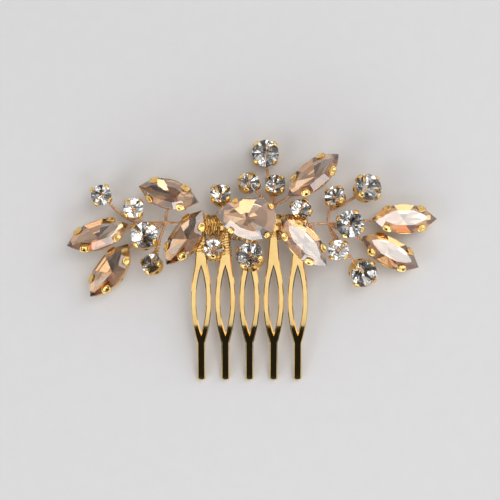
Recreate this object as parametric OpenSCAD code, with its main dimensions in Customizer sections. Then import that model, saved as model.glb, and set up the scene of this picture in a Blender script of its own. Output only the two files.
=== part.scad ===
// Decorative hair comb: a gilt five-tooth comb with crystals in claw cups wired to its spine.
// Millimetres. +X right, +Y from the tooth tips to the crown, +Z up from the surface it lies on.

/* [Output] */
// Piece to draw, or all

/* [Comb] */
// Overall width of the comb
comb_width = 27; // [24:0.5:32]
// Left to right place of the comb's middle
comb_x = -0.7; // [-3:0.1:3]
// Thickness of the comb's sheet
sheet = 1.2; // [0.8:0.1:1.6]
// Top edge of the spine
spine_top = 9.7; // [8:0.1:12]
// Height of the spine
spine_height = 3; // [2:0.1:5]
// Number of teeth
tooth_count = 5; // [3:1:9]
// Distance between teeth
tooth_pitch = 5.6; // [4.5:0.1:7]
// Width of a tooth's neck at the spine
neck_width = 1.3; // [1:0.1:2]
// Width of a tooth's shank
shank_width = 1.8; // [1.4:0.05:2.2]
// Middle of the tooth's eye
eye_y = -9.4; // [-12:0.1:-6]
// Length of the eye
eye_length = 15.5; // [10:0.5:20]
// Width of the eye
eye_width = 2.35; // [1.6:0.05:3]
// Length of the swelling round the eye
swell_length = 25.2; // [22:0.2:30]
// Width of the swelling round the eye
swell_width = 4.7; // [4.2:0.1:5]
// Tooth tips
tip_y = -28.1; // [-34:0.1:-22]
// Where the teeth start to bend down
bend_y = -12; // [-18:0.5:-4]
// Radius of the bend
bend_radius = 40; // [30:1:80]
// Length of the flat under each tip
foot_length = 1; // [0.6:0.1:2]

/* [Crystals] */
// Diameter of the small rounds
small_round = 4.75; // [4:0.05:5.5]
// Diameter of the large rounds
large_round = 6.3; // [5.5:0.05:7]
// Length of the navettes
navette_length = 15; // [12:0.5:18]
// Width of the navettes
navette_width = 7; // [5:0.5:8]
// Length of the pear drop
pear_length = 14; // [12:0.5:18]
// Width of the pear drop
pear_width = 10; // [8:0.5:12]
// Thickness of the girdle edge
girdle = 0.2; // [0.1:0.05:0.4]

/* [Settings] */
// How far the cup's edge stays inside the crystal's edge
cup_inset = 0.05; // [0.02:0.01:0.1]
// How far the cup's edge stays below the middle of the girdle
cup_drop = 0.45; // [0.45:0.05:0.7]
// Thickness of the cup wall
cup_wall = 0.3; // [0.25:0.05:0.6]
// Thickness of the cup floor
cup_floor = 0.4; // [0.3:0.05:0.8]
// Gap between crystal and claw
claw_gap = 0.06; // [0.03:0.01:0.15]
// Thickness of a claw beside the girdle
claw_thickness = 0.35; // [0.25:0.05:0.5]
// Radius of the sewing holes
hole_radius = 0.5; // [0.4:0.05:0.7]

/* [Wire] */
// Radius of a twisted stem
stem_radius = 0.32; // [0.25:0.01:0.45]
// Radius of the lashing wire
lash_radius = 0.22; // [0.15:0.01:0.3]
// Distance between lashing turns
lash_pitch = 0.56; // [0.46:0.02:1]
// Lashing turns between two teeth
lash_turns = 5; // [2:1:6]

/* [Hidden] */
RIM = 16;
MAINS = RIM / 2;
FINE = 24;

// each crystal: name, cut, x, y, girdle height, turn, way it leans, lean
STONES = [
  ["left_tip_round", "small", -35, 15, 5, 15, 0, 0],
  ["left_upper_round", "small", -27.5, 12, 6.2, 0, 90, 18],
  ["left_large_round", "large", -25, 5.8, 7, 10, 90, 20],
  ["left_lower_round", "small", -23.5, -0.7, 6, 30, 135, 35],
  ["left_upper_navette", "navette", -19.5, 15.2, 7.6, -15, 165, 20],
  ["left_outer_navette", "navette", -35.8, 5.8, 5.4, 20, 90, 15],
  ["left_lower_navette", "navette", -33.2, -2.4, 4.15, 55, 135, 20],
  ["left_inner_navette", "navette", -15.6, 5.2, 9, 57, 135, 20],
  ["centre_pear", "pear", -1.5, 9.7, 9.8, 172, 90, 3],
  ["crown_top_round", "large", 3, 24.7, 3.6, 0, 45, 8],
  ["crown_mid_round", "small", -0.6, 18, 6, 20, 45, 28],
  ["crown_left_round", "small", -7.4, 15.4, 5.5, 0, 85, 32],
  ["crown_right_round", "small", 5.2, 17.6, 6, 0, 90, 28],
  ["spine_left_round", "small", -9, 2.7, 8.4, 45, 90, 32],
  ["spine_middle_round", "large", -0.8, 1.2, 9, 20, 120, 30],
  ["right_upper_navette", "navette", 14, 19.6, 7.6, 39, 135, 15],
  ["right_inner_navette", "navette", 11.8, 4, 9, -46, 45, 8],
  ["right_outer_navette", "navette", 35.2, 9.5, 4.2, 0, 90, 10],
  ["right_lower_navette", "navette", 32, 1.8, 4, -28, 45, 15],
  ["right_inner_round", "small", 11.2, 11.9, 6.8, 20, 90, 25],
  ["right_upper_round", "small", 18.8, 14.8, 6.5, 10, 135, 33],
  ["right_high_round", "large", 26.9, 16.9, 6, 0, 45, 29],
  ["right_large_round", "large", 22.5, 8.2, 7.6, 20, 90, 3],
  ["right_mid_round", "small", 19.8, 2.2, 7, 0, 90, 10],
  ["right_low_round", "large", 25.9, -3.3, 5, 10, -45, 25]
];

// ---- crystal outlines: rim points with their outward normals, tip first, anticlockwise ----

function arc_radius(reach, rise) = (reach * reach + rise * rise) / (2 * rise);

function round_rim(r) =
  [for (j = [0 : RIM - 1]) let (n = [cos(j * 360 / RIM), sin(j * 360 / RIM)]) [r * n, n]];

function pear_rim(length, width) =
  let (r = width / 2, back = r - length / 2, reach = length / 2 - back)
  let (big = arc_radius(reach, r), spread = asin(reach / big))
  [for (j = [0 : RIM - 1])
    let (side = j <= MAINS ? 1 : -1, k = j <= MAINS ? j : RIM - j)
    let (bow = spread * (1 - k / 4), turn = 90 + (k - 4) * 360 / RIM)
    k <= 4
      ? [[back + big * sin(bow), side * (big * cos(bow) - big + r)],
         k == 0 ? [1, 0] : [sin(bow), side * cos(bow)]]
      : [[back + r * cos(turn), side * r * sin(turn)], [cos(turn), side * sin(turn)]]];

function navette_rim(length, width) =
  let (big = arc_radius(length / 2, width / 2), spread = asin(length / 2 / big))
  [for (j = [0 : RIM - 1])
    let (side = j <= MAINS ? 1 : -1, k = j <= MAINS ? j : RIM - j, bow = spread * (1 - k / 4))
    [[big * sin(bow), side * (big * cos(bow) - big + width / 2)],
     k == 0 ? [1, 0] : k == MAINS ? [-1, 0] : [sin(bow), side * cos(bow)]]];

function unit(v) = v / norm(v);

// corners of a navette's or a pear's straight-sided rim, tip first, anticlockwise
function navette_corners(length, width) =
  let (big = arc_radius(length / 2, width / 2), spread = asin(length / 2 / big))
  let (flank = [for (bow = [1, 0.64, 0.28, -0.28, -0.64] * spread)
    [big * sin(bow), big * cos(bow) - big + width / 2]])
  concat(flank, -flank);

function pear_corners(length, width) =
  let (r = width / 2, back = r - length / 2, reach = length / 2 - back)
  let (big = arc_radius(reach, r), spread = asin(reach / big))
  let (flank = [for (k = [0 : 2]) let (bow = spread * (1 - k / 3))
    [back + big * sin(bow), big * cos(bow) - big + r]])
  concat(
    flank,
    [for (turn = [90 : 30 : 270]) [back + r * cos(turn), r * sin(turn)]],
    [for (k = [2, 1]) [flank[k].x, -flank[k].y]]
  );

function rim(cut) =
  cut == "small" ? round_rim(small_round / 2)
  : cut == "large" ? round_rim(large_round / 2)
  : cut == "pear" ? pear_rim(pear_length, pear_width)
  : navette_rim(navette_length, navette_width);

// each cut: crown height, table inset, pavilion depth, claw dome radius, claw dome height,
// how far the cup draws in
function cut_sizes(cut) =
  cut == "small" ? [0.75, 1, 1.95, 0.7, 0.36, 0.25]
  : cut == "large" ? [1, 1.3, 2.6, 0.75, 0.4, 0.3]
  : cut == "pear" ? [1.5, 1.9, 3.3, 0.85, 0.45, 0.9]
  : [1.2, 1.5, 2.7, 1, 0.5, 0.6];

function crown(cut) = cut_sizes(cut)[0];
function inset(cut) = cut_sizes(cut)[1];
function pavilion(cut) = cut_sizes(cut)[2];
function taper(cut) = cut_sizes(cut)[5];
function cup_depth(cut) = pavilion(cut) + girdle / 2 + 0.1;
function hole_drop(cut) = cup_depth(cut) - hole_radius - 0.1;

// the point where two lines, each given by a normal and a distance, meet
function meet(n, d, m, e) =
  [d * m.y - e * n.y, n.x * e - m.x * d] / (n.x * m.y - n.y * m.x);

// facet corners shared by two neighbouring main facets, one part of the way along both
function shared(edge, reach) =
  [for (i = [0 : MAINS - 1])
    let (a = edge[2 * i], b = edge[(2 * i + 2) % RIM])
    meet(a[1], reach[i], b[1], reach[(i + 1) % MAINS])];

function lift(points, z) = [for (p = points) [p.x, p.y, z]];

// a round brilliant
module brilliant(cut) {
  edge = rim(cut);
  reach = [for (i = [0 : MAINS - 1]) edge[2 * i][0] * edge[2 * i][1]];
  star_drop = 0.45;
  keel_drop = 0.72;
  table = [for (i = [0 : MAINS - 1]) edge[2 * i][0] - inset(cut) * edge[2 * i][1]];
  stars = shared(edge, [for (i = [0 : MAINS - 1]) reach[i] - star_drop * inset(cut)]);
  keels = shared(edge, (1 - keel_drop) * reach);
  waist = [for (e = edge) e[0]];
  points = concat(
    lift(table, girdle / 2 + crown(cut)),
    lift(stars, girdle / 2 + star_drop * crown(cut)),
    lift(waist, girdle / 2),
    lift(waist, -girdle / 2),
    lift(keels, -girdle / 2 - keel_drop * pavilion(cut)),
    [[0, 0, -girdle / 2 - pavilion(cut)]]
  );
  m = MAINS;
  top = 2 * m;
  low = top + RIM;
  keel = low + RIM;
  culet = keel + m;
  polyhedron(points, concat(
    [[for (i = [m - 1 : -1 : 0]) i]],
    [for (i = [0 : m - 1]) [(i + 1) % m, m + i, i]],
    [for (i = [0 : m - 1]) [m + i, top + 2 * i, m + (i + m - 1) % m, i]],
    [for (i = [0 : m - 1]) [top + 2 * i + 1, top + 2 * i, m + i]],
    [for (i = [0 : m - 1]) [top + (2 * i + 2) % RIM, top + 2 * i + 1, m + i]],
    [for (j = [0 : RIM - 1])
      [top + (j + 1) % RIM, low + (j + 1) % RIM, low + j, top + j]],
    [for (i = [0 : m - 1]) [low + 2 * i, low + 2 * i + 1, keel + i]],
    [for (i = [0 : m - 1]) [low + 2 * i + 1, low + (2 * i + 2) % RIM, keel + i]],
    [for (i = [0 : m - 1]) [keel + (i + m - 1) % m, low + 2 * i, keel + i, culet]]
  ), convexity = 2);
}

// a long cut: over each side of the rim one facet up to the table, under it one down to the culet
module fancy(cut) {
  edge = cut == "pear" ? pear_corners(pear_length, pear_width)
    : navette_corners(navette_length, navette_width);
  n = len(edge);
  out = [for (i = [0 : n - 1]) let (run = edge[(i + 1) % n] - edge[i]) unit([run.y, -run.x])];
  table = [for (i = [0 : n - 1])
    let (h = (i + n - 1) % n)
    meet(out[h], edge[i] * out[h] - inset(cut), out[i], edge[i] * out[i] - inset(cut))];
  polyhedron(
    concat(
      lift(table, girdle / 2 + crown(cut)),
      lift(edge, girdle / 2),
      lift(edge, -girdle / 2),
      [[0, 0, -girdle / 2 - pavilion(cut)]]
    ),
    concat(
      [[for (i = [n - 1 : -1 : 0]) i]],
      [for (row = [0, n], i = [0 : n - 1]) let (j = (i + 1) % n)
        [row + j, row + n + j, row + n + i, row + i]],
      [for (i = [0 : n - 1]) [2 * n + (i + 1) % n, 3 * n, 2 * n + i]]
    ),
    convexity = 2
  );
}

// ---- placing ----

function spin(p, a) = [p.x * cos(a) - p.y * sin(a), p.x * sin(a) + p.y * cos(a), p.z];
function tip_over(p, t) = [p.x * cos(t) + p.z * sin(t), p.y, p.z * cos(t) - p.x * sin(t)];
function placed(s, p) = [s[2], s[3], s[4]] + spin(tip_over(spin(p, s[5] - s[6]), s[7]), s[6]);

module place(s) {
  translate([s[2], s[3], s[4]])
    rotate([0, 0, s[6]])
      rotate([0, s[7], 0])
        rotate([0, 0, s[5] - s[6]])
          children();
}

module crystal(s) {
  if (s[1] == "small" || s[1] == "large") {
    color("lavender") place(s) brilliant(s[1]);
  } else {
    color("bisque") place(s) fancy(s[1]);
  }
}

// ---- claw cups ----

// a disc between two heights, its rim drawn in towards the bottom like the cup
module disc(r, slope, low, high, fine) {
  translate([0, 0, low])
    cylinder(r1 = r + slope * low, r2 = r + slope * high, h = high - low, $fn = fine);
}

// the cup's outline grown by a margin, as a body that narrows downwards
module body(cut, margin, low, high) {
  slope = taper(cut) / cup_depth(cut);
  grow = margin - cup_inset + slope * cup_drop;
  if (cut == "small" || cut == "large") {
    disc((cut == "small" ? small_round : large_round) / 2 + grow, slope, low, high, FINE);
  } else if (cut == "navette") {
    big = arc_radius(navette_length / 2, navette_width / 2);
    intersection() {
      translate([0, navette_width / 2 - big, 0]) disc(big + grow, slope, low, high, 4 * FINE);
      translate([0, big - navette_width / 2, 0]) disc(big + grow, slope, low, high, 4 * FINE);
    }
  } else {
    r = pear_width / 2;
    back = r - pear_length / 2;
    big = arc_radius(pear_length / 2 - back, r);
    intersection() {
      translate([back, r - big, 0]) disc(big + grow, slope, low, high, 4 * FINE);
      translate([back, big - r, 0]) disc(big + grow, slope, low, high, 4 * FINE);
      translate([back, -pear_width, low]) cube([pear_length, 2 * pear_width, high - low]);
    }
    intersection() {
      translate([back, 0, 0]) disc(r + grow, slope, low, high, 4 * FINE);
      translate([back - pear_length, -pear_width, low])
        cube([pear_length, 2 * pear_width, high - low]);
    }
  }
}

// a claw at the origin, outward along +X, its dome lying on the crown
module claw(cut) {
  pitch = atan(crown(cut) / inset(cut));
  dome_r = cut_sizes(cut)[3];
  dome_h = cut_sizes(cut)[4];
  ball = arc_radius(dome_r, dome_h);
  stalk = 1.4 * dome_r;
  foot = 0.6 * cup_depth(cut);
  root = 0.6 * cup_wall;
  rotate([0, atan(taper(cut) / cup_depth(cut)), 0]) {
    translate([-root, -stalk / 2, -foot])
      cube([root + claw_gap + claw_thickness, stalk, foot - cup_drop]);
    translate([claw_gap, -stalk / 2, -foot])
      cube([claw_thickness, stalk, foot + girdle]);
  }
  translate([0, 0, girdle / 2])
    rotate([0, pitch, 0])
      translate([claw_gap + claw_thickness - dome_r, 0, claw_gap])
        intersection() {
          translate([0, 0, dome_h - ball]) sphere(r = ball, $fn = FINE);
          translate([-ball, -ball, 0]) cube([2 * ball, 2 * ball, ball]);
        }
}

module setting(s) {
  cut = s[1];
  edge = rim(cut);
  depth = cup_depth(cut);
  color("goldenrod")
    place(s)
      difference() {
        union() {
          difference() {
            body(cut, 0, -depth - cup_floor, -cup_drop);
            body(cut, -cup_wall, -depth, girdle);
          }
          for (j = [2 : 4 : RIM - 1])
            translate([edge[j][0].x, edge[j][0].y, 0])
              rotate([0, 0, atan2(edge[j][1].y, edge[j][1].x)])
                claw(cut);
        }
        for (a = [0, 90])
          rotate([0, 0, a])
            translate([-navette_length, 0, -hole_drop(cut)])
              rotate([0, 90, 0])
                cylinder(r = hole_radius, h = 2 * navette_length, $fn = FINE);
      }
}

// ---- comb ----

blade_z = bend_radius - sqrt(pow(bend_radius, 2) - pow(bend_y - tip_y - foot_length, 2));
tooth_xs = [for (i = [0 : tooth_count - 1]) comb_x + (i - (tooth_count - 1) / 2) * tooth_pitch];

// two arcs that meet in points above and below the middle of the eye
module lens(length, width) {
  big = arc_radius(length / 2, width / 2);
  intersection() {
    translate([width / 2 - big, eye_y]) circle(r = big, $fn = 8 * FINE);
    translate([big - width / 2, eye_y]) circle(r = big, $fn = 8 * FINE);
  }
}

// a neck that narrows towards the spine, a swelling with an eye, and a straight shank
module tooth() {
  tip_r = 0.7 * shank_width;
  big = arc_radius(swell_length / 2, swell_width / 2);
  shoulder = swell_width / 2 - big + sqrt(pow(big, 2) - pow(eye_length / 2, 2));
  eye_top = eye_y + eye_length / 2;
  neck_top = spine_top - spine_height / 2;
  difference() {
    union() {
      polygon([
        [-shoulder, eye_top],
        [shoulder, eye_top],
        [neck_width / 2, neck_top],
        [-neck_width / 2, neck_top]
      ]);
      lens(swell_length, swell_width);
      translate([-shank_width / 2, tip_y + tip_r])
        square([shank_width, eye_y - eye_length / 2 - tip_y - tip_r]);
      intersection() {
        translate([0, tip_y + tip_r]) circle(r = tip_r, $fn = FINE);
        translate([-shank_width / 2, tip_y]) square([shank_width, tip_r]);
      }
    }
    lens(eye_length, eye_width);
  }
}

module side_profile() {
  translate([bend_y, blade_z]) square([spine_top + 1 - bend_y, sheet]);
  intersection() {
    difference() {
      translate([bend_y, blade_z - bend_radius]) circle(r = bend_radius + sheet, $fn = 16 * FINE);
      translate([bend_y, blade_z - bend_radius]) circle(r = bend_radius, $fn = 16 * FINE);
    }
    translate([tip_y - 1, 0]) square([bend_y - tip_y + 1, blade_z + sheet]);
  }
}

module comb() {
  corner = 0.8;
  color("gold")
    intersection() {
      linear_extrude(blade_z + sheet + 1) {
        translate([comb_x - comb_width / 2, spine_top - spine_height])
          square([comb_width, spine_height - corner]);
        translate([comb_x - comb_width / 2 + corner, spine_top - spine_height])
          square([comb_width - 2 * corner, spine_height]);
        for (side = [-1, 1])
          translate([comb_x + side * (comb_width / 2 - corner), spine_top - corner])
            circle(r = corner, $fn = FINE);
        for (x = tooth_xs)
          translate([x, 0])
            tooth();
      }
      translate([comb_x - comb_width, 0, 0])
        rotate([90, 0, 90])
          linear_extrude(2 * comb_width)
            side_profile();
    }
}

// ---- wire ----

WIRE_SIDES = 6;

// a ring of points round a place on a wire, square to its run
function ring(p, run, r) =
  let (side = unit(cross(run, abs(run.z) < 0.9 * norm(run) ? [0, 0, 1] : [0, 1, 0])))
  let (up = unit(cross(side, run)))
  [for (k = [0 : WIRE_SIDES - 1])
    p + r * (cos(k * 360 / WIRE_SIDES) * side + sin(k * 360 / WIRE_SIDES) * up)];

// the run of a path at each of its points
function runs(path) =
  let (last = len(path) - 1)
  [for (i = [0 : last])
    unit((i < last ? unit(path[i + 1] - path[i]) : [0, 0, 0])
      + (i > 0 ? unit(path[i] - path[i - 1]) : [0, 0, 0]))];

module wire(path, r) {
  run = runs(path);
  n = WIRE_SIDES;
  last = len(path) - 1;
  polyhedron(
    [for (i = [0 : last]) each ring(path[i], run[i], r)],
    concat(
      [[for (k = [n - 1 : -1 : 0]) k]],
      [[for (k = [0 : n - 1]) last * n + k]],
      [for (i = [0 : last - 1], k = [0 : n - 1], half = [0, 1])
        let (a = i * n + k, b = i * n + (k + 1) % n)
        half == 0 ? [a, b + n, a + n] : [a, b, b + n]]
    ),
    convexity = 4
  );
}

function curve(a, b, c, d, steps) =
  [for (i = [0 : steps])
    let (t = i / steps, u = 1 - t)
    u * u * u * a + 3 * u * u * t * b + 3 * u * t * t * c + t * t * t * d];

function stone(name) = [for (s = STONES) if (s[0] == name) s][0];

// a point on the line out of a cup's sewing hole, a quarter turn at a time, some way past the rim
function port(name, quarter, past) =
  let (s = stone(name), e = rim(s[1])[4 * quarter])
  let (p = e[0] + past * e[1])
  placed(s, [p.x, p.y, -hole_drop(s[1])]);

// a stem from a cup to a joint, leaving along the hole and arriving along the given run
module stem(name, quarter, joint, arrive, ease = 1, steps = 7) {
  from = port(name, quarter, 0.3);
  reach = ease * norm(joint - from) / 3;
  bend = curve(from, port(name, quarter, 0.3 + reach), joint - reach * unit(arrive), joint, steps);
  wire(concat([port(name, quarter, -0.4)], bend), stem_radius);
}

// stems lie on the front of the spine, at the height of bed, and cross it over the teeth's necks
bed = blade_z + sheet + stem_radius + 0.03;
trunk_y = spine_top - spine_height / 2;

// the stems twisted together along the spine, from one place to another
module trunk(from_x, to_x) {
  wire([[from_x, trunk_y, bed], [to_x, trunk_y, bed]], stem_radius);
}

module left_spray_wire() {
  spine_end = [comb_x - comb_width / 2 + 0.5, trunk_y, bed];
  fork = [-20, 8.6, 3];
  tail = [-25.5, 8.6, 1.6];
  color("peru") {
    trunk(spine_end.x, comb_x);
    wire(curve(fork, fork + [2, 0, 0.4], spine_end - [2, 0, 0], spine_end, 4), stem_radius);
    wire(curve(tail, tail + [2, 0, 0.2], fork - [2, 0, 0.4], fork, 4), stem_radius);
    stem("left_tip_round", 3, tail, [1, 0.2, 0.2]);
    stem("left_upper_round", 3, tail, [1, -1, 0]);
    stem("left_outer_navette", 0, tail, [1, 0, 0]);
    stem("left_lower_navette", 0, tail, [1, 1, 0]);
    stem("left_large_round", 0, fork, [1, 0.3, -0.3]);
    stem("left_lower_round", 0, fork, [0.6, 1, 0]);
    stem("left_upper_navette", 3, fork, [0.3, -1, -0.3]);
    stem("left_inner_navette", 0, [tooth_xs[0] + 0.2, trunk_y, bed], [0, -1, 0], 0.9);
    stem("spine_left_round", 0, [tooth_xs[1], trunk_y, bed], [0, 1, 0]);
    stem("crown_left_round", 3, [tooth_xs[1], trunk_y, bed], [0, -1, 0], 0.3);
    stem("spine_middle_round", 1, [tooth_xs[2], trunk_y, bed], [0, 1, 0]);
  }
}

module crown_spray_wire() {
  landing = [tooth_xs[3] - 0.4, trunk_y, bed];
  knot = landing + [0, 3, 0];
  color("peru") {
    wire([knot, landing], stem_radius);
    stem("crown_top_round", 3, knot, [0, -1, 0.2]);
    stem("crown_mid_round", 3, knot, [0.3, -1, 0]);
    stem("crown_right_round", 3, knot, [-0.5, -1, 0]);
    stem("centre_pear", 3, knot, [0.2, 0.2, -1], 0.6);
    stem("right_upper_navette", 2, knot, [-0.3, -1, 0]);
  }
}

module right_spray_wire() {
  spine_end = [comb_x + comb_width / 2 - 0.5, trunk_y, bed];
  over_neck = [tooth_xs[4], trunk_y, bed];
  fork = [17.4, 8.4, 3.4];
  high_fork = [17.8, 11.2, 3.8];
  color("peru") {
    trunk(spine_end.x, tooth_xs[3] + 0.6);
    wire(curve(fork, fork - [1.5, 0, -0.3], spine_end + [1.5, 0, 0], spine_end, 4), stem_radius);
    stem("right_large_round", 2, fork, [-0.2, 0.3, -1], 0.8);
    stem("right_mid_round", 1, fork, [-0.6, 1, 0]);
    wire(curve(high_fork, high_fork - [0.4, 1, 0], fork + [0.3, 1, 0], fork, 3), stem_radius);
    stem("right_upper_round", 3, high_fork, [-0.6, -1, 0]);
    stem("right_high_round", 3, high_fork, [-1, -0.4, 0]);
    stem("right_outer_navette", 2, fork, [-1, 0, 0]);
    stem("right_lower_navette", 2, fork, [-1, 0.6, 0]);
    stem("right_low_round", 2, fork, [-0.6, 1, 0]);
    stem("right_inner_round", 3, over_neck, [0, -1, 0]);
    stem("right_inner_navette", 1, over_neck, [0, -1, 0]);
  }
}

module spine_lashing_wire() {
  reach = lash_radius + 0.05;
  low_y = spine_top - spine_height - reach;
  high_y = spine_top + reach;
  low_z = blade_z - reach;
  high_z = bed + stem_radius + reach;
  cut = 0.2;
  turn = [
    [high_y - cut, high_z], [high_y, high_z - cut], [high_y, low_z + cut], [high_y - cut, low_z],
    [low_y + cut, low_z], [low_y, low_z + cut], [low_y, high_z - cut], [low_y + cut, high_z]
  ];
  span = (lash_turns - 1) * lash_pitch;
  color("sienna")
    wire(
      [for (gap = [0 : tooth_count - 2], t = [0 : lash_turns - 1], k = [0 : len(turn) - 1])
        let (start = (tooth_xs[gap] + tooth_xs[gap + 1] - span - lash_pitch) / 2)
        [start + (t + k / len(turn)) * lash_pitch, turn[k].x, turn[k].y]],
      lash_radius
    );
}

// ---- drawing ----

comb();
for (s = STONES) {
  crystal(s);
  setting(s);
}
left_spray_wire();
crown_spray_wire();
right_spray_wire();
spine_lashing_wire();
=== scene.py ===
import bisect
import math
import random
import bpy
import bmesh
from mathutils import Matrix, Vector


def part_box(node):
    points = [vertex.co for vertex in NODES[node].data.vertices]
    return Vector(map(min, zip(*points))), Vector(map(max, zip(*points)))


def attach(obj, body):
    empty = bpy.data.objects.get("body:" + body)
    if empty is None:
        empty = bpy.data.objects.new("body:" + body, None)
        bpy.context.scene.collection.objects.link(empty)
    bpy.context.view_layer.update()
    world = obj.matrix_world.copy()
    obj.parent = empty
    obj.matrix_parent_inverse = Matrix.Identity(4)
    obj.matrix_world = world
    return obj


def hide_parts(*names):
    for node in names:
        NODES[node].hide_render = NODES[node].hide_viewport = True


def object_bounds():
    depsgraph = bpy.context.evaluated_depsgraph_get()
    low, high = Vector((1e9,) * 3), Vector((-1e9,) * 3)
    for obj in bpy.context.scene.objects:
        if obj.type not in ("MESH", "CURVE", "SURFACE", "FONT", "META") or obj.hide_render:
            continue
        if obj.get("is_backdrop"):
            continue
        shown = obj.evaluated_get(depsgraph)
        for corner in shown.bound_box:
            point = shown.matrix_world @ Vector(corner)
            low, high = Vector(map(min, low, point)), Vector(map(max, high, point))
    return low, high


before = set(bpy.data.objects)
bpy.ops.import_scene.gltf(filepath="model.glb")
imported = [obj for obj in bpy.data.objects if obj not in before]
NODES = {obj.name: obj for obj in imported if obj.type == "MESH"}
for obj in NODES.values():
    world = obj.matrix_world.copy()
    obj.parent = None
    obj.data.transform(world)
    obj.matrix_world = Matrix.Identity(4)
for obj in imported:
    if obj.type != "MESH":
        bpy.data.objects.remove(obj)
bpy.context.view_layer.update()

# A gilt hair comb with crystals in claw cups, wired to its spine. The crystals and cups are made
# from their CAD nodes, the wires from the cups' places, and the comb is rebuilt from its CAD plan
# with chamfered edges.

scene = bpy.context.scene
MM = 0.001
NAMES = sorted(n[len("crystal_"):] for n in NODES if n.startswith("crystal_"))


# ---------------------------------------------------------------- materials

def material(name):
    mat = bpy.data.materials.new(name)
    mat.use_nodes = True
    return mat, mat.node_tree, mat.node_tree.nodes["Principled BSDF"]


def noise(tree, coords, scale, detail, rough):
    node = tree.nodes.new("ShaderNodeTexNoise")
    node.inputs["Scale"].default_value = scale
    node.inputs["Detail"].default_value = detail
    node.inputs["Roughness"].default_value = rough
    tree.links.new(coords.outputs["Object"], node.inputs["Vector"])
    return node


def spread(tree, value, low, high, to_low, to_high):
    node = tree.nodes.new("ShaderNodeMapRange")
    node.inputs["From Min"].default_value = low
    node.inputs["From Max"].default_value = high
    node.inputs["To Min"].default_value = to_low
    node.inputs["To Max"].default_value = to_high
    tree.links.new(value, node.inputs["Value"])
    return node.outputs["Result"]


def plating(name, light, deep, rough, bump, scale):
    """Polished plate: its tone drifts at random from light to deep, its gloss is patchy and its surface
    is not quite flat. A deep tone far below light paints shade in random patches.
    """
    mat, tree, shader = material(name)
    coords = tree.nodes.new("ShaderNodeTexCoord")
    tone = tree.nodes.new("ShaderNodeValToRGB")
    tone.color_ramp.elements[0].position = 0.3
    tone.color_ramp.elements[0].color = (*deep, 1)
    tone.color_ramp.elements[1].position = 0.62
    tone.color_ramp.elements[1].color = (*light, 1)
    tree.links.new(noise(tree, coords, scale * 0.35, 4, 0.55).outputs["Fac"], tone.inputs["Fac"])
    tree.links.new(tone.outputs["Color"], shader.inputs["Base Color"])
    wear = noise(tree, coords, scale, 6, 0.7).outputs["Fac"]
    tree.links.new(spread(tree, wear, 0.3, 0.7, *rough), shader.inputs["Roughness"])
    if bump:
        lumps = tree.nodes.new("ShaderNodeBump")
        lumps.inputs["Strength"].default_value = bump
        lumps.inputs["Distance"].default_value = 0.05 * MM
        grain = noise(tree, coords, scale * 2.5, 5, 0.6).outputs["Fac"]
        tree.links.new(grain, lumps.inputs["Height"])
        tree.links.new(lumps.outputs["Normal"], shader.inputs["Normal"])
    shader.inputs["Metallic"].default_value = 1.0
    return mat


def crystal_glass(name, tint, ior, coat):
    """Cut glass with faint rubbed patches; coat is how strong the mirror wash on its surface is."""
    mat, tree, shader = material(name)
    coords = tree.nodes.new("ShaderNodeTexCoord")
    rub = noise(tree, coords, 1400, 5, 0.7).outputs["Fac"]
    tree.links.new(spread(tree, rub, 0.6, 0.85, 0.0, 0.02), shader.inputs["Roughness"])
    shader.inputs["Base Color"].default_value = (*tint, 1)
    shader.inputs["Transmission Weight"].default_value = 1.0
    shader.inputs["IOR"].default_value = ior
    shader.inputs["Coat Weight"].default_value = coat
    shader.inputs["Coat IOR"].default_value = COAT_IOR
    shader.inputs["Coat Roughness"].default_value = 0.01
    return mat


# The glass is set for its look and isn't physical: a low index keeps the foiled facets large and
# clean, and the coat carries the reflections of the light panels.
COAT_IOR = 2.9
CHAMPAGNE_IOR = 1.15
CLEAR_IOR = 1.4
COMB_GILT = plating("comb_gilt", (0.81, 0.58, 0.25), (0.74, 0.51, 0.20), (0.05, 0.10), 0.06, 900)
CUP_GILT = plating("cup_gilt", (0.92, 0.66, 0.27), (0.80, 0.49, 0.14), (0.10, 0.20), 0.35, 1500)
# the deep tone of the rose gold and the lashing is dark enough to be painted shade, in random patches,
# for the gaps between strands and turns
ROSE_GOLD = plating("rose_gold", (0.96, 0.70, 0.48), (0.58, 0.32, 0.17), (0.12, 0.22), 0.3, 2500)
LASHING = plating("lashing_gold", (0.96, 0.70, 0.27), (0.40, 0.19, 0.05), (0.14, 0.26), 0.3, 2500)
CHAMPAGNE = crystal_glass("champagne", (0.90, 0.855, 0.81), CHAMPAGNE_IOR, 1.0)
CLEAR = crystal_glass("clear", (1.0, 1.0, 1.0), CLEAR_IOR, 0.0)
# the rim glass is a painted reflection: an amber tint on a champagne stone's sloping crown facets and
# girdle, standing for the gilt cup seen through them
GILT_REFLECTION_RIM_GLASS = crystal_glass("rim_champagne", (0.84, 0.58, 0.32), CHAMPAGNE_IOR, 0.8)
SILVER_FOIL = plating("silver_foil", (0.96, 0.96, 0.95), (0.90, 0.90, 0.89), (0.03, 0.07), 0, 700)
# the shade foil is painted shade: a dark backing put on some of a round's back facets to stand for the
# dark they reflect
PAINTED_SHADE_FOIL = plating("shade_foil", (0.22, 0.21, 0.20), (0.17, 0.16, 0.16), (0.03, 0.07), 0, 700)
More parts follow.
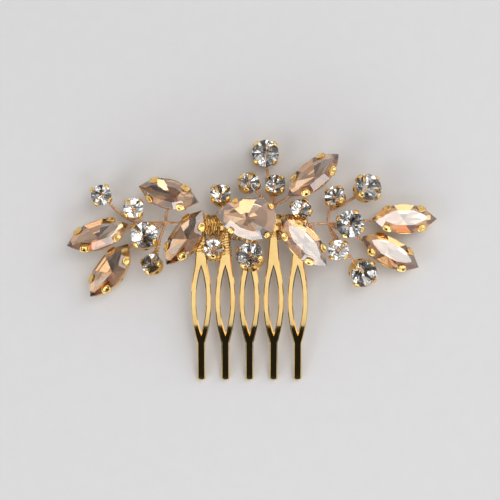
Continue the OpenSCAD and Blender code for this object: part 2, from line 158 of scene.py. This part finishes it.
# the four foils below are painted light and shade on a champagne stone's back facets, picked by compass
# bearing: peach and pearl are painted light, brown and grey painted shade
PEACH_PAINTED_LIGHT_FOIL = plating("peach_foil", (0.86, 0.62, 0.43), (0.80, 0.57, 0.39), (0.05, 0.09), 0, 700)
PEARL_PAINTED_LIGHT_FOIL = plating("pearl_foil", (0.86, 0.75, 0.66), (0.80, 0.70, 0.61), (0.05, 0.09), 0, 700)
BROWN_PAINTED_SHADE_FOIL = plating("brown_foil", (0.66, 0.42, 0.26), (0.60, 0.37, 0.22), (0.05, 0.09), 0, 700)
GREY_PAINTED_SHADE_FOIL = plating("grey_foil", (0.60, 0.49, 0.40), (0.54, 0.44, 0.36), (0.05, 0.09), 0, 700)


# ---------------------------------------------------------------- pieces

def make(name, bm, mats, node):
    """A mesh piece that stands for a CAD node."""
    mesh = bpy.data.meshes.new(name)
    bm.to_mesh(mesh)
    bm.free()
    for mat in mats:
        mesh.materials.append(mat)
    obj = bpy.data.objects.new(name, mesh)
    scene.collection.objects.link(obj)
    return settle(obj, node)


def settle(obj, node):
    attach(obj, "root")
    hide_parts(node)
    return obj


def cad_copy(node):
    """The CAD node's mesh with its flat faces whole again."""
    bm = bmesh.new()
    bm.from_mesh(NODES[node].data)
    bmesh.ops.remove_doubles(bm, verts=bm.verts, dist=1e-6)
    bmesh.ops.recalc_face_normals(bm, faces=bm.faces)
    return bm


# ---------------------------------------------------------------- stones

GIRDLE = 0.2 * MM
HOLE_RADIUS = 0.5 * MM
# faces of a CAD crystal that turn less than this belong to one facet
FACET_ANGLE = math.radians(1)
# a claw's points lie within this many degrees of its first one
CLAW_SPREAD = 36
# the compass bearing nearest to which a round's first sewing hole is taken
FIRST_HOLE = 15


class Stone:
    """Where a crystal sits and faces, measured on its CAD node."""

    def __init__(self, name):
        self.name = name
        self.round = name.endswith("_round")
        bm = cad_copy("crystal_" + name)
        bmesh.ops.dissolve_limit(bm, angle_limit=FACET_ANGLE, verts=bm.verts, edges=bm.edges)
        table = max(bm.faces, key=lambda f: f.calc_area())
        self.up = table.normal.copy()
        culet = min(bm.verts, key=lambda v: v.co.dot(self.up)).co.copy()
        band = [f for f in bm.faces if abs(f.normal.dot(self.up)) < 0.05]
        waist = {v for f in band for v in f.verts}
        height = sum(v.co.dot(self.up) for v in waist) / len(waist) - culet.dot(self.up)
        self.deep = height
        self.centre = culet + height * self.up
        self.tall = table.verts[0].co.dot(self.up) - self.centre.dot(self.up)
        self.edges = [(f.calc_center_median() - self.centre, f.normal.copy()) for f in band]
        far = max(waist, key=lambda v: self.flat(v.co).length + 1e-3 * v.co.x)
        self.reach = self.flat(far.co).length
        self.wide = min(mid.dot(out) for mid, out in self.edges)
        self.claws = self.find_claws()
        if self.round:
            turns = [self.spun(self.claws[0], 45 + 90 * k) for k in range(4)]
            self.along = min(turns, key=lambda d: abs(math.degrees(math.atan2(d.y, d.x)) - FIRST_HOLE))
        else:
            self.along = self.flat(far.co).normalized()
        if name == "centre_pear" and sum(self.along.dot(mid) for mid, _ in self.edges) > 0:
            self.along = -self.along
        self.across = self.up.cross(self.along)
        bm.free()

    def flat(self, point):
        rel = point - self.centre
        return rel - rel.dot(self.up) * self.up

    def spun(self, way, degrees):
        a = math.radians(degrees)
        return way * math.cos(a) + self.up.cross(way) * math.sin(a)

    def find_claws(self):
        """Middle of each claw, in the girdle's plane, from the tall parts of the CAD cup."""
        tall = [self.flat(v.co) for v in NODES["setting_" + self.name].data.vertices
                if (v.co - self.centre).dot(self.up) > 0]
        start = tall[0].normalized()
        side = self.up.cross(start)
        groups = {}
        for rel in tall:
            turn = math.degrees(math.atan2(rel.dot(side), rel.dot(start)))
            for known in groups:
                if abs((turn - known + 180) % 360 - 180) < CLAW_SPREAD:
                    groups[known].append(rel)
                    break
            else:
                groups[turn] = [rel]
        return [sum(g, Vector()) / len(g) for g in groups.values()]

    def port(self, way, past):
        """A point on the line out of the cup's sewing hole nearest to a compass bearing."""
        aim = Vector((math.cos(math.radians(way)), math.sin(math.radians(way)), 0))
        out = max((self.along, self.across, -self.along, -self.across), key=lambda d: d.dot(aim))
        rim = max(mid.dot(out) for mid, _ in self.edges)
        start = self.centre + (rim + past) * out - (self.deep - HOLE_RADIUS) * self.up
        if self.name == "centre_pear":
            start -= (self.reach - self.wide) * self.along
        return start


STONES = {name: Stone(name) for name in NAMES}
PAINTED_LIGHT_AND_SHADE_FOILS = (PEACH_PAINTED_LIGHT_FOIL, PEARL_PAINTED_LIGHT_FOIL, BROWN_PAINTED_SHADE_FOIL, GREY_PAINTED_SHADE_FOIL)
# the places of a champagne crystal's materials, after its glass: the painted light and shade foils, then
# the rim's painted gilt reflection
PEACH_LIGHT, PEARL_LIGHT, BROWN_SHADE, GREY_SHADE, GILT_REFLECTION_RIM = range(1, 6)
# the compass bearing at which each sector of painted light or shade ends; None is the stone's own edge
# tone, a painted shade
LIGHT_AND_SHADE_SECTORS = ((45, None), (85, PEARL_LIGHT), (215, PEACH_LIGHT), (260, GREY_SHADE), (300, BROWN_SHADE), (330, PEARL_LIGHT), (361, None))
# how many of a round's back facets get the painted shade foil
PAINTED_SHADE_SHARE = 0.38
# a facet that rises less than BACK is foiled, and one that rises more than TABLE is the table
BACK = -0.05
TABLE = 0.98
# picks which of a round's back facets get painted shade
painted_shade_dice = random.Random(11)


def painted_foil_of(stone, normal):
    """The foil of a back facet: painted shade at random on a round, painted light and shade by compass
    bearing on a champagne stone.
    """
    if stone.round:
        return 1 + (painted_shade_dice.random() < PAINTED_SHADE_SHARE)
    bearing = math.degrees(math.atan2(normal.y, normal.x)) % 360
    # a stone's edge tone is one of the painted shade foils
    edge = BROWN_SHADE if stone.name == "centre_pear" else GREY_SHADE
    for limit, tone in LIGHT_AND_SHADE_SECTORS:
        if bearing < limit:
            return tone or edge


def crystal(stone):
    """The CAD crystal with its facets whole, its back faces foiled in painted light and shade, and a
    champagne crown's slopes in a painted gilt reflection.
    """
    bm = cad_copy("crystal_" + stone.name)
    bmesh.ops.dissolve_limit(bm, angle_limit=FACET_ANGLE, verts=bm.verts, edges=bm.edges)
    for face in bm.faces:
        if face.normal.dot(stone.up) < BACK:
            face.material_index = painted_foil_of(stone, face.normal)
        # the sloping crown facets and girdle of a champagne stone take the painted gilt reflection
        elif not stone.round and face.normal.dot(stone.up) < TABLE:
            face.material_index = GILT_REFLECTION_RIM
    mats = [CLEAR, SILVER_FOIL, PAINTED_SHADE_FOIL] if stone.round else [CHAMPAGNE, *PAINTED_LIGHT_AND_SHADE_FOILS, GILT_REFLECTION_RIM_GLASS]
    make("gem_" + stone.name, bm, mats, "crystal_" + stone.name)


# ---------------------------------------------------------------- claw cups

CUP_DROP = 0.45 * MM
CLAW_THICK = 0.32 * MM
# half the claw's width, how far it reaches over the crown, how deep its end is dished
CLAWS = {
    "small": (0.62 * MM, 0.62 * MM, 0.0),
    "large": (0.66 * MM, 0.75 * MM, 0.0),
    "pear": (0.75 * MM, 1.05 * MM, 0.16 * MM),
    "navette": (1.05 * MM, 1.35 * MM, 0.22 * MM),
}
# from the girdle to the table's edge, which gives the slope under a claw; on a round it is a share
# of the half width
TABLE_INSET = {"pear": 1.9 * MM, "navette": 1.5 * MM}
ROUND_INSET = 0.42
# a claw's middle line up to the girdle: out from the rim and up from the girdle, in mm
CLAW_SIDE = ((-0.12, -1.15), (0.02, -0.7), (0.2, -0.3), (0.26, 0.02))
LARGE_REACH = 2.8 * MM
CUP_CREASE = math.radians(32)


def cut_of(stone):
    if stone.round:
        return "small" if stone.reach < LARGE_REACH else "large"
    return stone.name.split("_")[-1]


def spline(points, count):
    """Points along a smooth line through the given ones, evenly spaced."""
    fine = []
    padded = [2 * points[0] - points[1], *points, 2 * points[-1] - points[-2]]
    for a, b, c, d in zip(padded, padded[1:], padded[2:], padded[3:]):
        for k in range(24):
            t = k / 24
            fine.append(0.5 * (2 * b + (c - a) * t + (2 * a - 5 * b + 4 * c - d) * t * t
                               + (3 * b - a - 3 * c + d) * t ** 3))
    fine.append(points[-1])
    run = [0.0]
    for a, b in zip(fine, fine[1:]):
        run.append(run[-1] + (b - a).length)
    out, j = [], 0
    for k in range(count):
        want = run[-1] * k / (count - 1)
        while j < len(run) - 2 and run[j + 1] < want:
            j += 1
        out.append(fine[j].lerp(fine[j + 1], (want - run[j]) / max(run[j + 1] - run[j], 1e-12)))
    return out


def claw_tab(bm, stone, middle):
    """A strip that comes up outside the girdle and folds over the crown to a round end."""
    half, over, dish = CLAWS[cut_of(stone)]
    if stone.round:
        out = middle.normalized()
        rim = stone.reach
        foot = Vector()
    else:
        _, out = min(stone.edges, key=lambda e: (e[0] - middle).length)
        rim = max(mid.dot(out) for mid, _ in stone.edges) + 0.1 * MM
        foot = middle - middle.dot(out) * out
    side = stone.up.cross(out)
    crown_run = ROUND_INSET * stone.wide if stone.round else TABLE_INSET[cut_of(stone)]
    pitch = math.atan2(stone.tall - GIRDLE / 2, crown_run)
    lift = CLAW_THICK / 2 + 0.05 * MM
    slope = Vector((-math.cos(pitch), math.sin(pitch)))
    proud = Vector((math.sin(pitch), math.cos(pitch)))
    ledge = Vector((0, GIRDLE / 2))
    plan = [Vector((x * MM, y * MM)) for x, y in CLAW_SIDE]
    plan += [ledge + 0.15 * MM * slope + lift * 1.05 * proud, ledge + over * slope + lift * proud]
    count, ring = 22, 20
    path = spline(plan, count)
    rings = []
    for k, at in enumerate(path):
        run = (path[min(k + 1, count - 1)] - path[max(k - 1, 0)]).normalized()
        lean = Vector((run.y, -run.x))
        along = (path[-1] - at).length
        wide = half * (0.72 + 0.28 * min(1, k / 12))
        if along < half:
            wide *= max(1 - (1 - along / half) ** 3, 0.0) ** 0.4
        end_fade = min(1, along / (0.35 * half))
        thick = 0.5 * CLAW_THICK * (0.35 + 0.65 * end_fade)
        hollow = dish * math.exp(-((along - 0.85 * half) / (0.5 * half)) ** 4)
        points = []
        for j in range(ring):
            a = 2 * math.pi * j / ring
            w = wide * math.cos(a)
            rise = thick * math.sin(a)
            if rise > 0:
                rise -= hollow * max(0, 1 - (w / (0.6 * half)) ** 4)
            skin = at + rise * lean
            points.append(bm.verts.new(stone.centre + foot + (rim + skin.x) * out
                                       + skin.y * stone.up + w * side))
        rings.append(points)
    faces = []
    for a, b in zip(rings, rings[1:]):
        for j in range(ring):
            m = (j + 1) % ring
            faces.append(bm.faces.new((a[j], a[m], b[m], b[j])))
    faces.append(bm.faces.new(rings[0][::-1]))
    faces.append(bm.faces.new(rings[-1]))
    bmesh.ops.recalc_face_normals(bm, faces=faces)
    for face in faces:
        face.smooth = True


def setting(stone):
    """The CAD cup cut off under the girdle, with four folded claws."""
    node = "setting_" + stone.name
    bm = cad_copy(node)
    level = stone.centre - (CUP_DROP + 0.02 * MM) * stone.up
    geom = bm.verts[:] + bm.edges[:] + bm.faces[:]
    cut = bmesh.ops.bisect_plane(bm, geom=geom, plane_co=level, plane_no=stone.up, clear_outer=True)
    edges = [e for e in cut["geom_cut"] if isinstance(e, bmesh.types.BMEdge)]
    bmesh.ops.triangle_fill(bm, use_beauty=True, edges=edges, normal=stone.up)
    bmesh.ops.recalc_face_normals(bm, faces=bm.faces)
    for face in bm.faces:
        face.smooth = True
    for edge in bm.edges:
        edge.smooth = len(edge.link_faces) == 2 and edge.calc_face_angle(0) < CUP_CREASE
    for middle in stone.claws:
        claw_tab(bm, stone, middle)
    make("cup_" + stone.name, bm, [CUP_GILT], node)


for stone in STONES.values():
    crystal(stone)
    setting(stone)


# ---------------------------------------------------------------- comb

CHAMFER = 0.21 * MM
# how many cuts across the comb let it follow the bend
BEND_CUTS = 24
COMB_CREASE = math.radians(20)


def outlines(bm):
    """The comb's plan: closed loops of the edges between its front and its upright sides."""
    links = {}
    for edge in bm.edges:
        rises = sorted(abs(f.normal.z) for f in edge.link_faces)
        front = any(f.normal.z > 0.5 for f in edge.link_faces)
        if len(rises) == 2 and rises[0] < 0.1 and front:
            a, b = edge.verts
            links.setdefault(a, []).append(b)
            links.setdefault(b, []).append(a)
    fronts = sorted((v.co.y, v.co.z) for v in links)
    loops = []
    while links:
        start = next(iter(links))
        loop, at, last = [], start, None
        while at is not None:
            loop.append(at.co.xy)
            ahead = [v for v in links.pop(at) if v is not last and v in links]
            at, last = (ahead[0] if ahead else None), at
        loops.append(loop)
    return loops, fronts


def thin_out(loop):
    """A loop without its nearly doubled and nearly straight points."""
    kept = []
    for at in loop:
        if not kept or (at - kept[-1]).length > 0.04 * MM:
            kept.append(at)
    size = len(kept)
    out = []
    for k, at in enumerate(kept):
        before, after = (at - kept[k - 1]).normalized(), (kept[(k + 1) % size] - at).normalized()
        if abs(before.x * after.y - before.y * after.x) > 0.002:
            out.append(at)
    return out


def inset(loop, depth):
    """A loop moved into the metal by a depth; the loop runs with the metal on its left."""
    out = []
    for k, at in enumerate(loop):
        before, after = (at - loop[k - 1]).normalized(), (loop[(k + 1) % len(loop)] - at).normalized()
        ways = Vector((-before.y, before.x)), Vector((-after.y, after.x))
        mitre = (ways[0] + ways[1]).normalized()
        out.append(at + mitre * depth / max(mitre.dot(ways[0]), 0.35))
    return out


def signed_area(loop):
    return sum(a.x * b.y - a.y * b.x for a, b in zip(loop, loop[1:] + loop[:1])) / 2


def comb_blade():
    """The comb rebuilt from its CAD plan with chamfered edges, then bent along the CAD's front."""
    source = cad_copy("comb")
    loops, fronts = outlines(source)
    thick = max(v.co.z for v in source.verts) - min(
        v.co.z for v in source.verts if v.co.y > comb_high.y - MM)
    source.free()
    loops = sorted((thin_out(loop) for loop in loops), key=lambda l: -abs(signed_area(l)))
    bm = bmesh.new()
    fills = [[], []]
    for number, loop in enumerate(loops):
        if (signed_area(loop) > 0) != (number == 0):
            loop.reverse()
        inner = inset(loop, CHAMFER)
        levels = ((inner, 0), (loop, CHAMFER), (loop, thick - CHAMFER), (inner, thick))
        rows = [[bm.verts.new((*at, z)) for at in ring] for ring, z in levels]
        for low_row, high_row in zip(rows, rows[1:]):
            for k in range(len(loop)):
                m = (k + 1) % len(loop)
                bm.faces.new((low_row[k], low_row[m], high_row[m], high_row[k]))
        for fill, row in zip(fills, (rows[0], rows[-1])):
            fill += [bm.edges.get((row[k], row[k - 1])) for k in range(len(row))]
    for fill in fills:
        bmesh.ops.triangle_fill(bm, use_beauty=True, edges=fill)
    low_y, high_y = fronts[0][0], max(y for y, z in fronts if z < comb_high.z - 0.001 * MM)
    for k in range(BEND_CUTS):
        level = (0, low_y + (high_y - low_y) * k / (BEND_CUTS - 1), 0)
        geom = bm.verts[:] + bm.edges[:] + bm.faces[:]
        bmesh.ops.bisect_plane(bm, geom=geom, plane_co=level, plane_no=(0, 1, 0))
    ys = [y for y, z in fronts]
    for vert in bm.verts:
        k = min(max(bisect.bisect_left(ys, vert.co.y), 1), len(ys) - 1)
        (y0, z0), (y1, z1) = fronts[k - 1], fronts[k]
        part = min(max((vert.co.y - y0) / max(y1 - y0, 1e-9), 0), 1)
        vert.co.z = max(vert.co.z - thick + z0 + (z1 - z0) * part, 0)
    bmesh.ops.recalc_face_normals(bm, faces=bm.faces)
    for face in bm.faces:
        face.smooth = True
    for edge in bm.edges:
        edge.smooth = len(edge.link_faces) == 2 and edge.calc_face_angle(0) < COMB_CREASE
    make("comb_blade", bm, [COMB_GILT], "comb")


comb_low, comb_high = (Vector(c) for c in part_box("comb"))
comb_blade()


# ---------------------------------------------------------------- wires

STRAND = 0.165 * MM
LASHING_STRAND = 0.17 * MM
# the run of one turn of a twisted wire
TWIST = 1.35 * MM
TOOTH_PITCH = 5.6 * MM
SPINE_HEIGHT = 3 * MM
BED = comb_high.z + 0.35 * MM
TRUNK_Y = comb_high.y - SPINE_HEIGHT / 2
MIDDLE_X = (comb_low.x + comb_high.x) / 2
NECKS = [MIDDLE_X + (i - 2) * TOOTH_PITCH for i in range(5)]
# points along a wrapped path, and in one turn of a wrap and of the lashing
WRAP_POINTS = 200
WRAP_STEPS = 12
TURN = 14
# the lashing between two teeth: turns, then span, slant, thickness gained and sag in mm
LAYERS = ((6, 3.0, 0.15, 0.0, 0.0), (4, 2.8, -0.9, 0.25, 0.5), (3, 4.2, 1.3, 0.5, 1.2))
# wraps down a tooth's neck: tooth, turns, and the y in mm where they end
NECK_WRAPS = ((0, 8, 0.8), (1, 10, 0.4), (3, 3, 5.0))
# a neck's half width in mm at the spine, what it gains, and the run in mm over which it does
NECK_HALF = 0.65
NECK_FLARE = 0.8
NECK_RUN = 9.85
dice = random.Random(7)


def spot(x, y, z):
    return Vector((x, y, z)) * MM


def bezier(a, b, c, d, steps=10):
    pts = []
    for k in range(steps + 1):
        t = k / steps
        u = 1 - t
        pts.append(u ** 3 * a + 3 * u * u * t * b + 3 * u * t * t * c + t ** 3 * d)
    return pts


def sides(path):
    """At each point of a path two directions square to its run, which don't spin along it."""
    frames = []
    last = None
    for k, at in enumerate(path):
        run = (path[min(k + 1, len(path) - 1)] - path[max(k - 1, 0)]).normalized()
        if last is None:
            last = run.cross(Vector((0, 0, 1)) if abs(run.z) < 0.9 else Vector((0, 1, 0)))
        last = (last - last.dot(run) * run).normalized()
        frames.append((last, run.cross(last)))
    return frames


def length_of(path):
    return sum((b - a).length for a, b in zip(path, path[1:]))


def twisted(points, strands=2, off=0.18 * MM, loose=0.0):
    """The strands of a twisted wire along a path, a little uneven, or opened out by loose."""
    length = length_of(points)
    count = max(8, int(length / (0.2 * MM)))
    path = spline(points, count)
    frames = sides(path)
    start = dice.uniform(0, 6.28)
    out = []
    for s in range(strands):
        strand = []
        for k, (at, (u, v)) in enumerate(zip(path, frames)):
            run = k * length / (count - 1)
            a = start + 2 * math.pi * (run / TWIST + s / strands)
            open_up = off + loose * math.sin(math.pi * k / (count - 1)) ** 2
            strand.append(at + open_up * (math.cos(a) * u + math.sin(a) * v))
        out.append(strand)
    return out


def wrap(points, begin, end, turns, around):
    """One wire wound round a stretch of a path."""
    path = spline(points, WRAP_POINTS)[int(WRAP_POINTS * begin):int(WRAP_POINTS * end)]
    path = spline(path[::6] + [path[-1]], turns * WRAP_STEPS)
    out = []
    for k, (at, (u, v)) in enumerate(zip(path, sides(path))):
        a = 2 * math.pi * k / WRAP_STEPS
        fat = around * (1 + 0.12 * math.sin(k * 0.9) + dice.uniform(-0.04, 0.04))
        out.append(at + fat * (math.cos(a) * u + math.sin(a) * v))
    return out


def wire_piece(name, strands, radius, mat, node):
    data = bpy.data.curves.new(name, "CURVE")
    data.dimensions = "3D"
    data.bevel_depth = radius
    data.bevel_resolution = 1
    data.use_fill_caps = True
    for strand in strands:
        line = data.splines.new("POLY")
        line.points.add(len(strand) - 1)
        for point, at in zip(line.points, strand):
            point.co = (*at, 1)
    data.materials.append(mat)
    obj = bpy.data.objects.new(name, data)
    scene.collection.objects.link(obj)
    return settle(obj, node)


def stem(name, bearing, joint, arrive, ease=1.0):
    """From a cup's sewing hole to a joint, arriving along the given run."""
    stone = STONES[name]
    start = stone.port(bearing, 0.3 * MM)
    reach = ease * (joint - start).length / 3
    bend = bezier(start, stone.port(bearing, 0.3 * MM + reach),
                  joint - reach * Vector(arrive).normalized(), joint)
    return [stone.port(bearing, -0.4 * MM)] + bend


def trunk(from_x, to_x):
    return [Vector((from_x + (to_x - from_x) * k / 6, TRUNK_Y, BED)) for k in range(7)]


def over_neck(i, dx=0.0):
    return Vector((NECKS[i] + dx * MM, TRUNK_Y, BED))


left_end = Vector((MIDDLE_X - 13 * MM, TRUNK_Y, BED))
left_fork = spot(-20, 8.6, 3)
left_tail = spot(-25.5, 8.6, 1.6)
left_low = stem("left_lower_round", 30, left_fork, (0.6, 1, 0))
left_inner = stem("left_inner_navette", 57, over_neck(0, 0.2), (0, -1, 0), 0.9)
spine_left = stem("spine_left_round", 45, over_neck(1), (0, 1, 0))
spine_middle = stem("spine_middle_round", 110, over_neck(2), (0, 1, 0))
LEFT = [
    stem("left_tip_round", -75, left_tail, (1, 0.2, 0.2)),
    stem("left_upper_round", -90, left_tail, (1, -1, 0)),
    stem("left_outer_navette", 20, left_tail, (1, 0, 0)),
    stem("left_lower_navette", 55, left_tail, (1, 1, 0)),
    stem("left_large_round", 10, left_fork, (1, 0.3, -0.3)),
    left_low,
    stem("left_upper_navette", -105, left_fork, (0.3, -1, -0.3)),
    left_inner,
    spine_left,
    stem("crown_left_round", -90, over_neck(1), (0, -1, 0), 0.3),
    spine_middle,
]
left_strands = [s for path in LEFT for s in twisted(path, 2, loose=0.08 * MM)]
left_strands += twisted(trunk(left_end.x, MIDDLE_X), 3, 0.2 * MM)
left_strands += twisted(bezier(left_fork, left_fork + spot(2, 0, 0.4),
                               left_end - spot(2, 0, 0), left_end), 3, 0.2 * MM)
left_strands += twisted(bezier(left_tail, left_tail + spot(2, 0, 0.2),
                               left_fork - spot(2, 0, 0.4), left_fork), 3, 0.2 * MM)
wire_piece("left_spray_twist", left_strands, STRAND, ROSE_GOLD, "left_spray_wire")

landing = over_neck(3, -0.4)
knot = landing + spot(0, 3, 0)
CROWN = [
    [knot, knot + spot(0.05, -1.5, 0), landing],
    stem("crown_top_round", -90, knot, (0, -1, 0.2)),
    stem("crown_mid_round", -70, knot, (0.3, -1, 0)),
    stem("crown_right_round", -90, knot, (-0.5, -1, 0)),
    stem("centre_pear", 82, knot, (0.2, 0.2, -1), 0.6),
    stem("right_upper_navette", -141, knot, (-0.3, -1, 0)),
]
crown_strands = [s for path in CROWN for s in twisted(path, 2, loose=0.08 * MM)]
wire_piece("crown_spray_twist", crown_strands, STRAND, ROSE_GOLD, "crown_spray_wire")

right_end = Vector((MIDDLE_X + 13 * MM, TRUNK_Y, BED))
right_fork = spot(17.4, 8.4, 3.4)
high_fork = spot(17.8, 11.2, 3.8)
RIGHT = [
    stem("right_large_round", 200, right_fork, (-0.2, 0.3, -1), 0.8),
    stem("right_mid_round", 90, right_fork, (-0.6, 1, 0)),
    bezier(high_fork, high_fork - spot(0.4, 1, 0), right_fork + spot(0.3, 1, 0), right_fork),
    stem("right_upper_round", -80, high_fork, (-0.6, -1, 0)),
    stem("right_high_round", -90, high_fork, (-1, -0.4, 0)),
    stem("right_outer_navette", 180, right_fork, (-1, 0, 0)),
    stem("right_lower_navette", 152, right_fork, (-1, 0.6, 0)),
    stem("right_low_round", 190, right_fork, (-0.6, 1, 0)),
    stem("right_inner_round", -70, over_neck(4), (0, -1, 0)),
    stem("right_inner_navette", 44, over_neck(4), (0, -1, 0)),
]
right_strands = [s for path in RIGHT for s in twisted(path, 2, loose=0.08 * MM)]
right_strands += twisted(trunk(right_end.x, NECKS[3] + 0.6 * MM), 3, 0.2 * MM)
right_strands += twisted(bezier(right_fork, right_fork - spot(1.5, 0, -0.3),
                                right_end + spot(1.5, 0, 0), right_end), 3, 0.2 * MM)
wire_piece("right_spray_twist", right_strands, STRAND, ROSE_GOLD, "right_spray_wire")


def lashing():
    """Turns round the spine between the teeth, in three layers, and wraps on necks and stems."""
    low_y, high_y = comb_high.y - SPINE_HEIGHT - 0.2 * MM, comb_high.y + 0.2 * MM
    low_z, high_z = comb_high.z - 1.4 * MM, BED + 0.45 * MM
    strands = []
    for gap in range(4):
        middle = (NECKS[gap] + NECKS[gap + 1]) / 2
        for turns, span, slant, grow, sag in LAYERS:
            line = []
            begin = dice.uniform(0, 6.28)
            wobble = [dice.uniform(-1, 1) for _ in range(turns + 2)]
            for t in range(turns * TURN + 1):
                a = begin + 2 * math.pi * t / TURN
                lap, share = t // TURN, t % TURN / TURN
                loose = wobble[lap] * (1 - share) + wobble[lap + 1] * share
                part = t / (turns * TURN) - 0.5
                x = middle + (part * span + slant * math.sin(a + loose) + 0.15 * loose) * MM
                flat_y = max(-1, min(1, 1.2 * math.cos(a)))
                flat_z = max(-1, min(1, 1.2 * math.sin(a)))
                fat = (grow + 0.08 * loose) * MM
                bottom = low_y - max(0, sag * (0.7 + 0.5 * loose)) * MM
                y = (bottom + high_y) / 2 + flat_y * ((high_y - bottom) / 2 + fat)
                z = (low_z + high_z) / 2 + flat_z * ((high_z - low_z) / 2 + fat)
                line.append(Vector((x, y, z)))
            strands.append(line)
    for tooth, turns, low_end in NECK_WRAPS:
        line = []
        for t in range(turns * TURN + 1):
            a = 2 * math.pi * t / TURN
            y = low_y + 0.3 * MM + (low_end * MM - low_y) * t / (turns * TURN)
            y += 0.35 * MM * math.sin(a + tooth) + dice.uniform(-0.04, 0.04) * MM
            below = comb_high.y - SPINE_HEIGHT / 2 - y
            half = (NECK_HALF + NECK_FLARE * below / (NECK_RUN * MM)) * MM
            line.append(Vector((NECKS[tooth] + (half + 0.2 * MM) * math.cos(a), y,
                                comb_high.z - 0.6 * MM + 0.92 * MM * math.sin(a))))
        strands.append(line)
    strands.append(wrap(left_low, 0.06, 0.55, 7, 0.5 * MM))
    strands.append(wrap(left_inner, 0.1, 0.8, 6, 0.5 * MM))
    strands.append(wrap(spine_left, 0.05, 0.8, 8, 0.5 * MM))
    strands.append(wrap(spine_middle, 0.05, 0.8, 7, 0.5 * MM))
    wire_piece("spine_lashing", strands, LASHING_STRAND, LASHING, "spine_lashing_wire")


lashing()


# ---------------------------------------------------------------- studio

def direction(azimuth, elevation):
    a, e = math.radians(azimuth), math.radians(elevation)
    return Vector((math.cos(a) * math.cos(e), math.sin(a) * math.cos(e), math.sin(e)))


def card(name, azimuth, elevation, distance, size, radiance):
    """A soft light panel that faces the comb."""
    data = bpy.data.lights.new(name, "AREA")
    data.shape = "RECTANGLE"
    data.size, data.size_y = size
    data.energy = radiance * math.pi * size[0] * size[1]
    obj = bpy.data.objects.new(name, data)
    scene.collection.objects.link(obj)
    obj.location = direction(azimuth, elevation) * distance
    obj.rotation_euler = (-obj.location).to_track_quat("-Z", "Y").to_euler()
    obj.visible_camera = False


card("key", 32, 31, 0.9, (0.6, 0.6), 1.3)
card("crown_softbox", 48, 66, 0.62, (0.32, 0.31), 2.1)
card("zenith", -90, 85, 0.62, (0.40, 0.165), 0.92)
card("right_card", -50, 46, 0.65, (0.34, 0.2), 1.9)
card("left_card", -149, 37, 0.65, (0.24, 0.2), 3.0)
card("front_strip", -100, 20, 0.8, (1.2, 0.24), 2.2)


def room():
    """An even pale surround with two dark flags, which the gilt and the facets reflect."""
    world = bpy.data.worlds.new("room")
    scene.world = world
    world.use_nodes = True
    tree = world.node_tree
    coords = tree.nodes.new("ShaderNodeTexCoord")
    level = 0.4
    flags = ((-90, 62, 18, 30, 0.05), (150, 40, 12, 22, 0.5))
    for azimuth, elevation, inner, outer, dark in flags:
        dot = tree.nodes.new("ShaderNodeVectorMath")
        dot.operation = "DOT_PRODUCT"
        dot.inputs[1].default_value = direction(azimuth, elevation)
        tree.links.new(coords.outputs["Generated"], dot.inputs[0])
        shade = spread(tree, dot.outputs["Value"], math.cos(math.radians(outer)),
                       math.cos(math.radians(inner)), 1.0, dark)
        times = tree.nodes.new("ShaderNodeMath")
        times.operation = "MULTIPLY"
        tree.links.new(shade, times.inputs[0])
        if isinstance(level, float):
            times.inputs[1].default_value = level
        else:
            tree.links.new(level, times.inputs[1])
        level = times.outputs["Value"]
    height = tree.nodes.new("ShaderNodeSeparateXYZ")
    tree.links.new(coords.outputs["Generated"], height.inputs[0])
    glow = spread(tree, height.outputs["Z"], 0.3, 0.65, 2.4, 1.0)
    brighten = tree.nodes.new("ShaderNodeMath")
    brighten.operation = "MULTIPLY"
    tree.links.new(glow, brighten.inputs[0])
    tree.links.new(level, brighten.inputs[1])
    level = brighten.outputs["Value"]
    back = tree.nodes["Background"]
    back.inputs["Color"].default_value = (1, 1, 1, 1)
    tree.links.new(level, back.inputs["Strength"])


room()
scene.view_settings.view_transform = "Standard"
scene.cycles.glossy_bounces = 12
scene.cycles.max_bounces = 24

FLOOR_HALF = 3
FLOOR_DROP = 0.2 * MM
FLOOR_CORNERS = [(x * FLOOR_HALF, y * FLOOR_HALF, 0) for x, y in ((-1, -1), (1, -1), (1, 1), (-1, 1))]
floor_mesh = bpy.data.meshes.new("floor")
floor_mesh.from_pydata(FLOOR_CORNERS, [], [(0, 1, 2, 3)])
floor = bpy.data.objects.new("floor", floor_mesh)
scene.collection.objects.link(floor)
paper, paper_tree, paper_shader = material("floor_paper")
paper_tone = paper_tree.nodes.new("ShaderNodeValToRGB")
paper_tone.color_ramp.elements[0].color = (0.74, 0.73, 0.74, 1)
paper_tone.color_ramp.elements[1].color = (0.78, 0.77, 0.78, 1)
paper_coords = paper_tree.nodes.new("ShaderNodeTexCoord")
paper_grain = noise(paper_tree, paper_coords, 260, 6, 0.6)
paper_tree.links.new(paper_grain.outputs["Fac"], paper_tone.inputs["Fac"])
paper_tree.links.new(paper_tone.outputs["Color"], paper_shader.inputs["Base Color"])
paper_shader.inputs["Roughness"].default_value = 0.9
floor_mesh.materials.append(paper)
floor.location.z = -FLOOR_DROP
floor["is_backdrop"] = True

# The camera looks straight down. Its view is FRAME_WIDTH wide at half the part's height, and its
# axis is AIM away from the middle of the part.
FRAME_WIDTH = 0.1155
AIM = (-0.5 * MM, 2.4 * MM)
low, high = (Vector(c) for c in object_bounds())
middle = (low + high) / 2
lens = bpy.data.cameras.new("camera")
lens.lens = 150
lens.sensor_width = 36
lens.clip_start = 0.01
camera = bpy.data.objects.new("camera", lens)
scene.collection.objects.link(camera)
far = FRAME_WIDTH * lens.lens / lens.sensor_width
camera.location = (middle.x + AIM[0], middle.y + AIM[1], high.z / 2 + far)
scene.camera = camera
